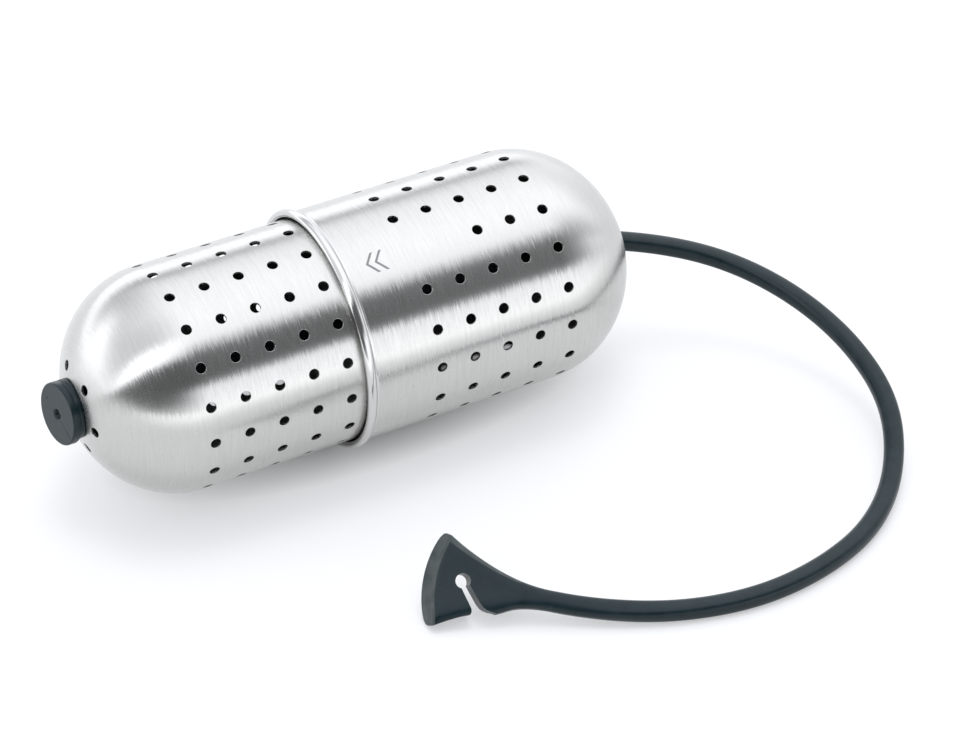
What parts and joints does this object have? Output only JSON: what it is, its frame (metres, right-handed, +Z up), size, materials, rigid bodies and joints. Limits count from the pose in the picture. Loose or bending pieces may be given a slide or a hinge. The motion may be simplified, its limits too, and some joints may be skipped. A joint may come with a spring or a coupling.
{
  "type": "tea infuser",
  "caption": "Tea capsule of two perforated steel shells that telescope together, on a silicone cord with a stopper and a fishtail clip.",
  "frame": {"origin": "on the ground below the middle of the closed capsule, measured without the free cord and its clip", "axes": "+X along the capsule's axis towards the cap, +Z up, the capsule lying on its rolled rim at z = 0, the cord's loop on the -Y side"},
  "size_m": [0.1501, 0.1077, 0.0469],
  "materials": {
    "brushed_steel": "finely brushed round the axis, rolled rim polished",
    "silicone": "satin charcoal silicone"
  },
  "bodies": {
    "cap": {"cap_shell": "brushed_steel", "cord": "silicone", "clip_end": "silicone"},
    "cord_end": {"end_button": "silicone", "inner_cord": "silicone"},
    "basket": {"basket_shell": "brushed_steel"}
  },
  "joints": [
    {"name": "pull_apart", "type": "slide", "parent": "cap", "child": "cord_end", "axis": [-1, 0, 0], "range_m": [0, 0.06]},
    {"name": "basket_turn", "type": "hinge", "parent": "cord_end", "child": "basket", "pos_m": [0, 0, 0.02345], "axis": [1, 0, 0], "continuous": true}
  ]
}
